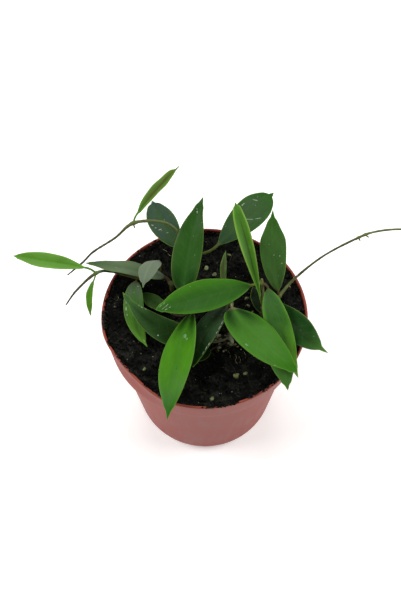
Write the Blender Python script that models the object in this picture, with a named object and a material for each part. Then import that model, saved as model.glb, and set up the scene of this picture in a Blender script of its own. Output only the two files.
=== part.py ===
"""A young wax vine in a thin plastic nursery pot: pot, soil, five rooted stems and their leaves.

The origin is the centre of the pot's underside, on the ground, with +Z up and -Y towards the viewer.
Headings are degrees anticlockwise from +X, seen from above. Climbs are degrees above level.
"""

from math import atan2, cos, degrees, hypot, pi, radians, sin

import bmesh
import bpy
from mathutils import Vector, noise

MM = 0.001

# The pot: a 12 cm tapered nursery pot with a plain collar
POT_SIDES = 64
POT_HEIGHT = 106
RIM_RADIUS = 60.3
FOOT_RADIUS = 43.3  # where the straight taper would meet the ground
FOOT_ROUND_DEPTH = 2.8
FOOT_ROUND_HEIGHT = 9
COLLAR_HEIGHT = 19
COLLAR_TAPER = 3.1
COLLAR_STEP = 3.4
WALL = 1.1
LIP_WIDTH = 1.5
DENT_HEADING = 221  # where the soft rim is pressed in at the front left
DENT_SPREAD = 32
DENT_DEPTH = 3
BASE_THICKNESS = 1.4
FOOT_RING = 1.6
BASE_RECESS = 2.5
PAD_RADIUS = 13.5
DRAIN_COUNT = 6
DRAIN_RADIUS = 4
DRAIN_CIRCLE = 32

# The soil fills the pot nearly to its lip and dips a little in the middle
SOIL_GAP = 0.5
SOIL_EDGE_LEVEL = POT_HEIGHT - 1.6
SOIL_MIDDLE_LEVEL = POT_HEIGHT - 6.2
SOIL_DISH_RADIUS = 38
SOIL_RINGS = 13
CLOD_SIZE = 9
CLOD_HEIGHT = 1.6
CRUMB_SIZE = 4
CRUMB_HEIGHT = 0.9
ROOT_CLUMP = Vector((9.5, -19))
ROOT_CLUMP_RADIUS = 7
ROOT_CLUMP_HEIGHT = 1.3
HOLE_FLOOR = 84
HOLE_CLEARANCE = 0.5

# Stems
STEM_SINK = HOLE_FLOOR + 0.4
STEM_OUT = SOIL_MIDDLE_LEVEL + 2.4
STEM_STEP = 3.0

# Leaves
BLADE_THICKNESS = 0.8
STALK_THICKNESS = 1.5
STALK_ROWS = 2
BLADE_ROWS = 13
LEAF_COLUMNS = 4
SUBSTEPS = 4
MARGIN_WAVE = 0.35
WAVES_PER_LEAF = 1.6
DRIP_TIP_WIDTH = 0.21

# sRGB colours as 0 to 1
POT_COLOUR = (0.58, 0.31, 0.27)
SOIL_COLOUR = (0.10, 0.08, 0.07)
STEM_COLOUR = (0.33, 0.31, 0.16)
LEAF_COLOURS = {
    "bright": (0.29, 0.53, 0.16),
    "mid": (0.20, 0.40, 0.17),
    "dark": (0.14, 0.28, 0.17),
    "grey": (0.33, 0.43, 0.36),
}

# Nodes of the stems, where the leaf stalks start: millimetres
FRONT_FOOT_NODE = Vector((15, -16.5, 102.2))
FRONT_LOW = Vector((14.5, -14.5, 104))
FRONT_TOP = Vector((15.5, 2.5, 112.5))
FRONT_TIP = Vector((12, 11, 112.5))
RIGHT_FOOT_NODE = Vector((34.5, -1.5, 102.5))
RIGHT_LOW = Vector((34.5, 1, 109))
RIGHT_TOP = Vector((33.5, 13, 117))
CENTRE_FOOT_NODE = Vector((-6, 5, 102.5))
CENTRE_LOW = Vector((-7, 6, 109.5))
CENTRE_TOP = Vector((-9, 31.5, 122))
CENTRE_WHIP = Vector((-39.5, 36.5, 146))
LEFT_LOW = Vector((-20, 21.5, 105))
LEFT_SIDE = Vector((-26, 27, 104.5))
LEFT_TOP = Vector((-39, 24, 107))
LEFT_WHIP = Vector((-63, 21, 118))
WHIP_NODE = Vector((44, 10, 107))


def linear(colour):
    """sRGB to the linear values that a shader takes."""
    return [c / 12.92 if c <= 0.04045 else ((c + 0.055) / 1.055) ** 2.4 for c in colour]


def material(name, colour, roughness):
    made = bpy.data.materials.new(name)
    made.use_nodes = True
    shader = made.node_tree.nodes["Principled BSDF"]
    shader.inputs["Base Color"].default_value = (*linear(colour), 1)
    shader.inputs["Roughness"].default_value = roughness
    shader.inputs["Metallic"].default_value = 0
    return made


def add_object(name, data, finish, parent):
    obj = bpy.data.objects.new(name, data)
    bpy.context.scene.collection.objects.link(obj)
    data.materials.append(finish)
    obj.parent = parent
    return obj


def mesh_from(bm, name):
    """The finished mesh in metres, smooth, with its faces pointing out."""
    bmesh.ops.scale(bm, vec=Vector((MM, MM, MM)), verts=bm.verts)
    mesh = bpy.data.meshes.new(name)
    bm.to_mesh(mesh)
    bm.free()
    mesh.shade_smooth()
    return mesh


def turned(profile):
    """A solid of revolution about Z, from (radius, height) points that start and end on the axis."""
    bm = bmesh.new()
    verts = [bm.verts.new((radius, 0, height)) for radius, height in profile]
    edges = [bm.edges.new(pair) for pair in zip(verts, verts[1:])]
    bmesh.ops.spin(
        bm, geom=verts + edges, cent=(0, 0, 0), axis=(0, 0, 1), angle=2 * pi,
        steps=POT_SIDES, use_merge=True,
    )
    bmesh.ops.remove_doubles(bm, verts=bm.verts, dist=1e-4)
    bmesh.ops.recalc_face_normals(bm, faces=bm.faces)
    return bm


def wall_radius(height):
    """Outer radius of the tapered wall below the collar, rounded in at the foot."""
    collar_base = POT_HEIGHT - COLLAR_HEIGHT
    top = RIM_RADIUS - COLLAR_TAPER - COLLAR_STEP
    straight = FOOT_RADIUS + (top - FOOT_RADIUS) * height / collar_base
    return straight - FOOT_ROUND_DEPTH * max(0, 1 - height / FOOT_ROUND_HEIGHT) ** 2


def inner_outline(gap):
    """(radius, height) up the inside of the base and wall to the lip, drawn in by a gap."""
    floor = BASE_RECESS + BASE_THICKNESS + gap
    collar_base = POT_HEIGHT - COLLAR_HEIGHT
    low = Vector((RIM_RADIUS - COLLAR_TAPER - WALL - gap, collar_base + 2.1))
    high = Vector((RIM_RADIUS - 0.6 - WALL - gap, POT_HEIGHT - 2.8))
    return [
        (PAD_RADIUS - 0.9 - gap / 2, BASE_THICKNESS + gap),
        (PAD_RADIUS + 1.6 - gap / 2, floor),
        (wall_radius(floor) - WALL - gap, floor),
        (wall_radius(FOOT_ROUND_HEIGHT) - WALL - gap, FOOT_ROUND_HEIGHT),
        (wall_radius(collar_base) - WALL - gap, collar_base - 0.5),
        *[tuple(low.lerp(high, k / 4)) for k in range(5)],
    ]


def press_in(bm):
    """Pushes the rim in over the dent, from the collar's base up. The soil's edge gives way with it."""
    for vert in bm.verts:
        radius = vert.co.xy.length
        heading = degrees(atan2(vert.co.y, vert.co.x)) % 360
        dent = max(0, 1 - ((heading - DENT_HEADING) / DENT_SPREAD) ** 2) ** 2
        dent *= smooth((vert.co.z - POT_HEIGHT + COLLAR_HEIGHT) / 14) * smooth((radius - 40) / 14)
        if dent > 0:
            vert.co.xy *= 1 - DENT_DEPTH * dent / radius


def add_pot(parent):
    collar_base = POT_HEIGHT - COLLAR_HEIGHT
    contact = wall_radius(0)
    foot = [(wall_radius(height), height) for height in (FOOT_ROUND_HEIGHT, 6, 3.6, 1.8, 0.7)]
    profile = [
        (0, BASE_THICKNESS),
        *inner_outline(0),
        (RIM_RADIUS - LIP_WIDTH, POT_HEIGHT - 0.8),
        (RIM_RADIUS - LIP_WIDTH + 0.5, POT_HEIGHT),
        (RIM_RADIUS - 0.5, POT_HEIGHT),
        (RIM_RADIUS, POT_HEIGHT - 0.8),
        (RIM_RADIUS, POT_HEIGHT - 1.8),
        (RIM_RADIUS - 0.5, POT_HEIGHT - 2.6),
        (RIM_RADIUS - COLLAR_TAPER, collar_base),
        (wall_radius(collar_base), collar_base - 1.4),
        *foot,
        (contact, 0),
        (contact - FOOT_RING, 0),
        (contact - FOOT_RING - 0.4, BASE_RECESS),
        (PAD_RADIUS + BASE_RECESS, BASE_RECESS),
        (PAD_RADIUS, 0),
        (0, 0),
    ]
    finish = material("pot_plastic", POT_COLOUR, 0.5)
    bm = turned(profile)
    press_in(bm)
    pot = add_object("pot", mesh_from(bm, "pot"), finish, parent)
    pot.data.set_sharp_from_angle(angle=radians(35))
    angles = [2 * pi * i / DRAIN_COUNT for i in range(DRAIN_COUNT)]
    drills = [(DRAIN_CIRCLE * cos(angle), DRAIN_CIRCLE * sin(angle), DRAIN_RADIUS) for angle in angles]
    cut(pot, "drain_drills", drills, -1, BASE_RECESS + 2 * BASE_THICKNESS)


def cut(target, name, drills, low, high):
    """Takes upright round holes, each (x, y, radius), out of the target between two heights."""
    bm = bmesh.new()
    for x, y, radius in drills:
        made = bmesh.ops.create_cone(
            bm, cap_ends=True, segments=16, radius1=radius, radius2=radius, depth=high - low
        )
        bmesh.ops.translate(bm, vec=(x, y, (low + high) / 2), verts=made["verts"])
    cutter = add_object(name, mesh_from(bm, name), target.data.materials[0], target.parent)
    cutter.hide_render = True
    cutter.display_type = "WIRE"
    boolean = target.modifiers.new("Holes", "BOOLEAN")
    boolean.operation = "DIFFERENCE"
    boolean.solver = "EXACT"
    boolean.object = cutter


def smooth(value):
    """0 to 1 with level ends."""
    value = min(max(value, 0), 1)
    return value * value * (3 - 2 * value)


def soil_relief(x, y):
    """Clods, crumbs and the knot of old roots at the front stem, above the soil's mean level."""
    place = Vector((x, y, 0))
    clods = noise.noise(place / CLOD_SIZE) * CLOD_HEIGHT
    crumbs = noise.noise(place / CRUMB_SIZE + Vector((9, 4, 2))) * CRUMB_HEIGHT
    clump = smooth(1 - (Vector((x, y)) - ROOT_CLUMP).length / ROOT_CLUMP_RADIUS) * ROOT_CLUMP_HEIGHT
    return clods + crumbs + clump


def add_soil(parent, stem_feet):
    edge = RIM_RADIUS - LIP_WIDTH - SOIL_GAP - 0.1
    dish = edge - SOIL_DISH_RADIUS
    top = []
    for ring in range(SOIL_RINGS + 1):
        radius = edge * ring / SOIL_RINGS
        rise = smooth((radius - SOIL_DISH_RADIUS) / dish)
        top.append((radius, SOIL_MIDDLE_LEVEL + (SOIL_EDGE_LEVEL - SOIL_MIDDLE_LEVEL) * rise))
    sides = inner_outline(SOIL_GAP)
    sides[-1] = (edge, SOIL_EDGE_LEVEL - 1.6)
    bm = turned(top + sides[::-1] + [(0, BASE_THICKNESS + SOIL_GAP)])
    for vert in bm.verts:
        inside = (vert.co.xy.length < edge - 1) and (vert.co.z > SOIL_MIDDLE_LEVEL - 1)
        if inside:
            vert.co.z += soil_relief(vert.co.x, vert.co.y)
    press_in(bm)
    finish = material("soil_peat", SOIL_COLOUR, 0.95)
    soil = add_object("soil", mesh_from(bm, "soil"), finish, parent)
    cut(soil, "stem_drills", stem_feet, HOLE_FLOOR, POT_HEIGHT + 5)


def curved(points, step):
    """(place, radius) about every step along a smooth curve through the given (place, radius) points."""
    ends = [points[0], *points, points[-1]]
    out = [points[0]]
    for before, start, stop, after in zip(ends, ends[1:], ends[2:], ends[3:]):
        count = max(1, round((stop[0] - start[0]).length / step))
        for k in range(1, count + 1):
            t = k / count
            place = (
                start[0] * 2
                + (stop[0] - before[0]) * t
                + (before[0] * 2 - start[0] * 5 + stop[0] * 4 - after[0]) * t * t
                + (start[0] * 3 - before[0] - stop[0] * 3 + after[0]) * t**3
            ) / 2
            out.append((place, start[1] + (stop[1] - start[1]) * smooth(t)))
    return out


def add_stem(name, foot, route, parent, finish):
    """A round stem that stands in the soil at foot (x, y) and runs through (place, radius) points."""
    radius = route[0][1]
    sunk = [(Vector((*foot, height)), radius) for height in (STEM_SINK, SOIL_MIDDLE_LEVEL - 6, STEM_OUT)]
    line = curved(sunk + route, STEM_STEP)
    curve = bpy.data.curves.new(name, "CURVE")
    curve.dimensions = "3D"
    curve.bevel_depth = MM
    curve.bevel_resolution = 2
    curve.use_fill_caps = True
    spline = curve.splines.new("POLY")
    spline.points.add(len(line) - 1)
    for point, (place, thick) in zip(spline.points, line):
        point.co = (*(place * MM), 1)
        point.radius = thick
    add_object(name, curve, finish, parent)
    return (*foot, radius + HOLE_CLEARANCE)


def between(value, stops):
    """Straight-line reading of (place, reading) stops."""
    for (low, first), (high, second) in zip(stops, stops[1:]):
        if value <= high:
            return first + (second - first) * max(0, value - low) / (high - low)
    return stops[-1][1]


def blade_width(share, widest, taper, drip, pinch):
    """Half width against the widest: a lance shape, then a narrow drip tip over the last share, drip.

    A low taper makes a full blade, a high one a slim blade. pinch hollows the sides before the tip.
    """
    if share <= 0 or share >= 1:
        return 0
    end = 1 - 0.7 * drip
    widest = widest / end
    body_share = min(share / end, 1)
    power = taper * widest / (1 - widest)
    full = widest**power * (1 - widest) ** taper
    body = body_share**power * (1 - body_share) ** taper / full
    body *= 1 - pinch * smooth((share - 0.62) / 0.33)
    tip = DRIP_TIP_WIDTH * min((1 - share) / drip, 1) * smooth((share - 1 + 2.2 * drip) / (1.2 * drip))
    return hypot(body, tip)


def add_leaf(name, seat, finish, parent, length, width, stalk, heading, climb,
             bend=0, roll=0, fold=7, widest=0.46, taper=0.7, drip=0.08, pinch=0.0, clear=2.0):
    """One leaf with its stalk.

    heading and climb read from the stem out: at the stalk's start, at the blade's base and, for climb,
    at the tip. bend turns the heading along the blade, roll lifts its left side, fold raises both halves.
    widest is the place of the greatest width along the blade, and taper how soon it narrows from there.
    drip is the share of the blade that its narrow drip tip takes, and pinch hollows the sides before it.
    clear is where the stalk starts, out from the middle of the stem.
    """
    rows = STALK_ROWS + BLADE_ROWS
    headings = [(0, heading[0]), (stalk, heading[1]), (stalk + length, heading[1] + bend)]
    climbs = [(0, climb[0]), (stalk, climb[1]), (stalk + length, climb[2])]

    def direction(distance):
        turn = radians(between(distance, headings))
        rise = radians(between(distance, climbs))
        ahead = Vector((cos(rise) * cos(turn), cos(rise) * sin(turn), sin(rise)))
        return ahead, Vector((-sin(turn), cos(turn), 0))

    def row_distance(row):
        if row <= STALK_ROWS:
            return clear + (stalk - clear) * row / STALK_ROWS
        share = (row - STALK_ROWS) / BLADE_ROWS
        eased = (1 - cos(pi * share)) / 2
        return stalk + length * (share + eased) / 2

    bm = bmesh.new()
    bmesh.ops.create_grid(bm, x_segments=LEAF_COLUMNS, y_segments=rows, size=0.5)
    weights = bm.verts.layers.deform.verify()
    by_row = {}
    for vert in bm.verts:
        by_row.setdefault(round((vert.co.y + 0.5) * rows), []).append(vert)
    place, reached = seat.copy(), 0
    for row in range(rows + 1):
        distance = row_distance(row)
        step = (distance - reached) / SUBSTEPS
        for k in range(SUBSTEPS):
            place = place + direction(reached + (k + 0.5) * step)[0] * step
        reached = distance
        ahead, left = direction(distance)
        up = ahead.cross(left)
        tilt = radians(roll)
        left, up = left * cos(tilt) + up * sin(tilt), up * cos(tilt) - left * sin(tilt)
        share = (distance - stalk) / length
        blade = width / 2 * blade_width(share, widest, taper, drip, pinch)
        half = max(blade, STALK_THICKNESS / 2 * (share < 0.5))
        crease = radians(fold) * smooth(share / 0.15) * smooth((1 - share) / 0.15)
        wave = MARGIN_WAVE * smooth(share / 0.3) * sin(2 * pi * WAVES_PER_LEAF * share + length)
        wave *= 2 * blade / width
        thick = BLADE_THICKNESS + (STALK_THICKNESS - BLADE_THICKNESS) * smooth(1 - share / 0.12)
        for vert in by_row[row]:
            across = 2 * vert.co.x
            lift = abs(across) * half * sin(crease) + across * across * wave
            vert.co = place + left * (across * half * cos(crease)) + up * lift
            vert[weights][0] = thick / STALK_THICKNESS
    bmesh.ops.remove_doubles(bm, verts=by_row[rows], dist=0.05)
    bmesh.ops.triangulate(bm, faces=bm.faces, quad_method="SHORT_EDGE")
    obj = add_object(name, mesh_from(bm, name), finish, parent)
    group = obj.vertex_groups.new(name="thickness")
    solid = obj.modifiers.new("Thickness", "SOLIDIFY")
    solid.thickness = STALK_THICKNESS * MM
    solid.offset = 0
    solid.vertex_group = group.name
    return obj


def add_stems(parent):
    """The five rooted stems. Returns the hole that each one needs in the soil."""
    bark = material("stem_bark", STEM_COLOUR, 0.6)
    feet = []
    feet.append(add_stem("stem_front", (15.5, -16.5), [
        (FRONT_LOW, 1.3),
        (Vector((15.5, -6, 109)), 0.9),
        (FRONT_TOP, 1.1),
        (FRONT_TIP, 0.7),
    ], parent, bark))
    feet.append(add_stem("stem_right", (34.5, -1.5), [
        (RIGHT_LOW, 1.3),
        (Vector((34.5, 8, 112.3)), 0.8),
        (RIGHT_TOP, 1.0),
        (RIGHT_TOP + Vector((0, 1.5, 3)), 0.6),
    ], parent, bark))
    feet.append(add_stem("stem_centre", (-6, 5), [
        (CENTRE_LOW, 1.3),
        (Vector((-8, 19, 115)), 0.9),
        (CENTRE_TOP, 1.1),
        (Vector((-15.6, 40.9, 131.4)), 0.85),
        (Vector((-24.5, 40, 142)), 0.8),
        (CENTRE_WHIP, 1.0),
        (Vector((-50.5, 32, 138)), 0.65),
        (Vector((-64, 30, 127)), 0.65),
        (Vector((-71, 28, 119)), 0.6),
        (Vector((-81, 25, 110)), 0.4),
    ], parent, bark))
    feet.append(add_stem("stem_left", (-19.5, 20), [
        (LEFT_LOW, 1.1),
        (LEFT_SIDE, 0.9),
        (LEFT_TOP, 0.9),
        (Vector((-54.5, 26, 111.5)), 0.75),
        (LEFT_WHIP, 0.9),
        (Vector((-74.5, 12.5, 113)), 0.65),
        (Vector((-81, 5.5, 108)), 0.4),
    ], parent, bark))
    feet.append(add_stem("stem_whip_right", (39, 5), [
        (Vector((39.5, 5.5, 103)), 1.0),
        (WHIP_NODE, 1.1),
        (Vector((53.5, 19.5, 111)), 0.75),
        (Vector((70, 28, 122)), 0.6),
        (Vector((89, 32, 134.5)), 0.7),
        (Vector((99, 33, 139)), 0.65),
        (Vector((112, 31.5, 143)), 0.6),
        (Vector((126, 28.5, 144)), 0.4),
    ], parent, bark))
    return feet


def add_leaves(parent):
    """Every leaf by name, on its own node, most of them in pairs that face each other."""
    tones = {name: material("leaf_" + name, colour, 0.35) for name, colour in LEAF_COLOURS.items()}

    def leaf(name, seat, tone, **shape):
        add_leaf("leaf_" + name, seat, tones[tone], parent, **shape)

    # Front stem
    leaf("low_left", FRONT_LOW, "dark", length=62.3, width=15.2, stalk=11, heading=(221.5, 179.5),
         climb=(2, 1, 19.5), bend=-56, roll=-8, widest=0.4, taper=1.1, drip=0.07, clear=2.5)
    leaf("soil_front", FRONT_FOOT_NODE, "dark", length=14.5, width=9, stalk=13, heading=(203.5, 208),
         climb=(1.7, -1, 0), widest=0.5, drip=0.06, clear=2.3, bend=-7.5, taper=0.6)
    leaf("front_shaded", FRONT_TOP, "dark", length=45, width=15.3, stalk=2.6, heading=(-163, -133.5),
         climb=(14, 3, -5), bend=32, roll=17, widest=0.45, taper=0.68, drip=0.06, clear=1.95)
    leaf("right_front", FRONT_TOP, "bright", length=61, width=24, stalk=5.5, heading=(-106, -69.5),
         climb=(29, 27, -2), bend=28.5, roll=-13, widest=0.43, drip=0.05, fold=5, clear=2.9)
    leaf("young_tip", FRONT_TIP, "grey", length=21.5, width=4, stalk=2.5, heading=(107, 98),
         climb=(54, 43, 42), bend=-25, roll=-7, drip=0.09, fold=16, clear=1.0)

    # Right stem
    leaf("shaded_right", RIGHT_FOOT_NODE, "dark", length=18, width=7.8, stalk=3, heading=(158, 96),
         climb=(25, 8, 3), bend=14, clear=2.6, widest=0.5, taper=0.7, roll=2)
    leaf("folded_upright", RIGHT_LOW, "bright", length=60, width=10.3, stalk=6.2, heading=(154, 110),
         climb=(65.5, 57, 10), bend=-5.5, roll=-20, widest=0.66, taper=0.56, drip=0.05, fold=38, clear=3.3)
    leaf("right_under", RIGHT_LOW, "mid", length=49.5, width=16.5, stalk=4.5, heading=(-72, -74),
         climb=(13, 3, -4), bend=-10, roll=-2, drip=0.09, clear=2.2)
    leaf("centre_level", RIGHT_TOP, "bright", length=58.5, width=20, stalk=6.5, heading=(204, 198),
         climb=(20, 10, -1), roll=-7, widest=0.51, taper=0.8, drip=0.05, fold=6, clear=1.4)
    leaf("right_middle", RIGHT_TOP, "mid", length=57, width=14.5, stalk=6, heading=(-23, -82.5),
         climb=(23, 4, -16), bend=14.5, roll=7, widest=0.43, taper=0.8, drip=0.1, clear=1.8)

    # Centre stem
    leaf("soil_left", CENTRE_FOOT_NODE, "mid", length=23.6, width=9.7, stalk=15, heading=(240, 144),
         climb=(-5, 1, -1), bend=-4, roll=5, widest=0.58)
    leaf("tall_centre", CENTRE_LOW, "mid", length=56.5, width=17.6, stalk=9, heading=(207, 86.5),
         climb=(38.5, 30.5, 34.5), bend=-23.5, roll=-4.5, widest=0.37, taper=0.66, drip=0.1, pinch=0.2,
         clear=2.6)
    leaf("front", CENTRE_LOW, "bright", length=70.5, width=19.4, stalk=8.3, heading=(-60, -108),
         climb=(29, 18, -23), bend=11, roll=19, widest=0.52, taper=0.8, drip=0.1, fold=6, clear=1.6)
    leaf("back_left", CENTRE_TOP, "dark", length=42, width=17, stalk=6.5, heading=(170, 122.5),
         climb=(7, 2, -14), bend=-17.5, roll=-5, widest=0.5, drip=0.05, clear=2.9)
    leaf("back_right", CENTRE_TOP, "dark", length=52, width=19, stalk=18.7, heading=(-19, 44.5),
         climb=(-2, 12.5, -12), bend=5, roll=16.5, widest=0.56, clear=2.0)
    leaf("whip_upper", CENTRE_WHIP, "bright", length=36, width=7.8, stalk=6.2, heading=(73, 37.5),
         climb=(52, 37, 21), bend=3, roll=-10, widest=0.5, drip=0.14, fold=24, clear=1.9, taper=0.5)

    # Left stem
    leaf("left_long", LEFT_LOW, "grey", length=47.5, width=14, stalk=5.5, heading=(114, 172.5),
         climb=(60, 17.5, 3), bend=2, roll=24, widest=0.39, drip=0.06, clear=3.2)
    leaf("left_curled", LEFT_SIDE, "grey", length=30.5, width=11.4, stalk=11.7, heading=(91, 52.5),
         climb=(31, 116, 201), bend=31, roll=11, widest=0.52, drip=0.14, fold=5)
    leaf("left_drooping", LEFT_TOP, "mid", length=44, width=12.1, stalk=2.4, heading=(-134, -104),
         climb=(7.5, -9.5, -2.5), bend=47, roll=1, widest=0.39, drip=0.12, clear=1.8, taper=0.68)
    leaf("far_left", LEFT_WHIP, "bright", length=42.5, width=10.5, stalk=7, heading=(139, 176.5),
         climb=(29, 13, 4), bend=-6.5, roll=-5.5, widest=0.53, drip=0.07, fold=20, clear=1.7)
    leaf("hanging_small", LEFT_WHIP, "bright", length=22.8, width=4.3, stalk=4.4, heading=(-101, -119),
         climb=(-22.5, -30, -67), bend=40, roll=10.5, taper=0.83, drip=0.07, fold=12, clear=3, widest=0.44)

    # Right whip
    leaf("right_upright", WHIP_NODE, "mid", length=50, width=15.7, stalk=3.3, heading=(119, 107.5),
         climb=(65, 53, 51), bend=-20.5, roll=3, widest=0.53, taper=0.5, drip=0.13, clear=2.2, pinch=0.45)
    leaf("right_low", WHIP_NODE, "dark", length=47.7, width=16, stalk=5.5, heading=(-100, -80),
         climb=(26, 22, 0), bend=43, roll=17, widest=0.51, taper=0.8, drip=0.15, clear=2.2)


def main():
    for obj in list(bpy.data.objects):
        bpy.data.objects.remove(obj, do_unlink=True)
    whole = bpy.data.objects.new("potted_hoya", None)
    bpy.context.scene.collection.objects.link(whole)
    add_pot(whole)
    feet = add_stems(whole)
    add_soil(whole, feet)
    add_leaves(whole)


main()
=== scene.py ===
"""Looks for a young wax vine in a thin plastic nursery pot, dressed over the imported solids.

Places and sizes in the code are millimetres, with the pot's middle at the origin, +Z up and -Y
towards the viewer. Each finished mesh is brought to metres as its last step.
Headings are degrees anticlockwise from +X, seen from above. Climbs are degrees above level.
"""

import random

from math import atan2, cos, degrees, exp, hypot, pi, radians, sin, sqrt

import bmesh
import bpy
from mathutils import Euler, Matrix, Vector, noise


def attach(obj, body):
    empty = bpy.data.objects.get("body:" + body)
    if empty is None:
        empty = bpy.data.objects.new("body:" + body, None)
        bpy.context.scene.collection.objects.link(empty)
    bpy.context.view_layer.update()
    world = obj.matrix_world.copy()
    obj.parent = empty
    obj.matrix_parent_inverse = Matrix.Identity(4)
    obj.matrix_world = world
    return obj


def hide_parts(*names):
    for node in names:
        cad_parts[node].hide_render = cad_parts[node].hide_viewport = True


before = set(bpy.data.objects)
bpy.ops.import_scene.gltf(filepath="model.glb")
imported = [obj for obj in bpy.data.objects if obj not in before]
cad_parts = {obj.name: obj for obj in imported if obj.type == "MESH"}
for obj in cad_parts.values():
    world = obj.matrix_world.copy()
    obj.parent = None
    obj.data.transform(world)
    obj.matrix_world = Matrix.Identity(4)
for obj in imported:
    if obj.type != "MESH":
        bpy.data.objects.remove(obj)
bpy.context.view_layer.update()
MM = 0.001
BODY = "root"

# The pot
POT_HEIGHT = 106
RIM_RADIUS = 60.3
FOOT_RADIUS = 43.3  # where the straight taper would meet the ground
FOOT_ROUND_DEPTH = 2.8
FOOT_ROUND_HEIGHT = 9
COLLAR_BASE = POT_HEIGHT - 19
COLLAR_TAPER = 3.1
COLLAR_STEP = 3.4
WALL = 1.1
LIP_WIDTH = 1.5
DENT_HEADING = 221  # where the soft rim is pressed in at the front left
DENT_SPREAD = 32
DENT_DEPTH = 3
BASE_THICKNESS = 1.4
FOOT_RING = 1.6
BASE_RECESS = 2.5
PAD_RADIUS = 13.5
DRAIN_COUNT = 6
DRAIN_RADIUS = 4
DRAIN_CIRCLE = 32
POT_SIDES = 160

# The soil
SOIL_GAP = 0.5
SOIL_EDGE_LEVEL = POT_HEIGHT - 1.6
SOIL_MIDDLE_LEVEL = POT_HEIGHT - 6.2
SOIL_DISH_RADIUS = 38
SOIL_RADIUS = RIM_RADIUS - LIP_WIDTH - SOIL_GAP - 0.1
SOIL_RINGS = 64
SOIL_SIDES = 224
CLOD_SIZE = 9
CLOD_HEIGHT = 1.6
CRUMB_SIZE = 4
CRUMB_HEIGHT = 0.9
GRAIN_SIZE = 1.7
GRAIN_HEIGHT = 0.8
ROOT_CLUMP = Vector((9.5, -19))
ROOT_CLUMP_RADIUS = 7
ROOT_CLUMP_HEIGHT = 1.3

# Stems and leaves
STEM_SINK = 96  # the height of the stems' lower ends, in the soil
SOIL_TOP = 102  # where the stems leave the soil
STEM_STEP = 0.8
STEM_SIDES = 12
STALK_ROWS = 8
STALK_START = 0.5  # out from the middle of the stem, so inside its node
BLADE_ROWS = 46
LEAF_COLUMNS = 32
COLUMN_CROWDING = 0.11
STALK_RADIUS = 0.75
BLADE_HALF = 0.42
MARGIN_WAVE = 0.35
WAVES_PER_LEAF = 1.6
RIPPLE = 0.2  # how far each margin waves by itself
RIPPLES_PER_LEAF = 3
DRIP_TIP_WIDTH = 0.23
LEAF_PITCH = 100  # how far apart two leaves' patterns start, along the blade

# Nodes of the stems, where the leaf stalks start
FRONT_FOOT_NODE = Vector((15, -16.5, 102.2))
FRONT_LOW = Vector((14.5, -14.5, 104))
FRONT_TOP = Vector((15.5, 2.5, 112.5))
FRONT_TIP = Vector((12, 11, 112.5))
RIGHT_FOOT_NODE = Vector((34.5, -1.5, 102.5))
RIGHT_LOW = Vector((34.5, 1, 109))
RIGHT_TOP = Vector((33.5, 13, 117))
CENTRE_FOOT_NODE = Vector((-6, 5, 102.5))
CENTRE_LOW = Vector((-7, 6, 109.5))
CENTRE_TOP = Vector((-9, 31.5, 122))
CENTRE_WHIP = Vector((-39.5, 36.5, 146))
LEFT_LOW = Vector((-20, 21.5, 105))
LEFT_SIDE = Vector((-26, 27, 104.5))
LEFT_TOP = Vector((-39, 24, 107))
LEFT_WHIP = Vector((-63, 21, 118))
WHIP_NODE = Vector((44, 10, 107))

# Colours that the eye takes from each part, sRGB
TONES = {
    "lime": "417A12", "fresh": "386D16", "grass": "3F731A", "fern": "32601D", "moss": "2C561B",
    "olive": "365322", "pine": "2A471F", "bottle": "213C18", "deep": "1A3410", "shade": "192F12",
    "sage": "486039", "silver": "566352", "slate": "2F4534", "spring": "4F8122", "yolk": "66952C",
    "bronze": "46491C", "twig": "504829", "umber": "383022", "reed": "58642A", "beige": "8F8560",
    "straw": "A39A72", "bark": "4A3A26", "chalk": "B9B8A8", "aloe": "42692E", "ivy": "123A0C",
    "mist": "4C5A48", "clover": "1B5603", "night": "0B2A06", "pear": "86A945", "sorrel": "38592D",
    "meadow": "5A8A36", "loden": "526E2A", "moor": "44602C", "pitch": "0E1C0A", "fir": "38552F",
    "lichen": "74755A", "tarn": "10290C", "mint": "2E6310", "pewter": "626F5E", "heath": "30492C",
    "sprout": "457723", "cress": "3E6E22", "thyme": "3A6426", "heather": "56694A", "lichen_painted_light": "8E8F6C",
    "crust_painted_light": "CBCDAC",
}


# Small tools


def linear(colour):
    """sRGB hex to the linear colour that a shader takes."""
    shares = [int(colour[k:k + 2], 16) / 255 for k in (0, 2, 4)]
    return (*[c / 12.92 if c <= 0.04045 else ((c + 0.055) / 1.055) ** 2.4 for c in shares], 1)


def tone(name):
    return Vector(linear(TONES[name]))


def smooth(value):
    """0 to 1 with level ends."""
    value = min(max(value, 0), 1)
    return value * value * (3 - 2 * value)


def between(value, stops):
    """Straight-line reading of (place, reading) stops."""
    for (low, first), (high, second) in zip(stops, stops[1:]):
        if value <= high:
            return first + (second - first) * max(0, value - low) / (high - low)
    return stops[-1][1]


def node(tree, kind, inputs, **settings):
    """Adds a shader node. inputs maps each socket to a value, an sRGB hex, a node or a node's output."""
    made = tree.nodes.new("ShaderNode" + kind)
    for name, value in settings.items():
        setattr(made, name, value)
    for key, value in inputs.items():
        if isinstance(value, bpy.types.Node):
            value = value.outputs[0]
        if isinstance(value, bpy.types.NodeSocket):
            tree.links.new(value, made.inputs[key])
        else:
            made.inputs[key].default_value = linear(value) if isinstance(value, str) else value
    return made


def clouds(tree, place, size, detail, roughness=0.5):
    """Soft noise with features of about a size, in the unit of the place."""
    inputs = {"Vector": place, "Scale": 1 / size, "Detail": detail, "Roughness": roughness}
    return node(tree, "TexNoise", inputs)


def cells(tree, place, size):
    return node(tree, "TexVoronoi", {"Vector": place, "Scale": 1 / size, "Randomness": 1})


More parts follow.
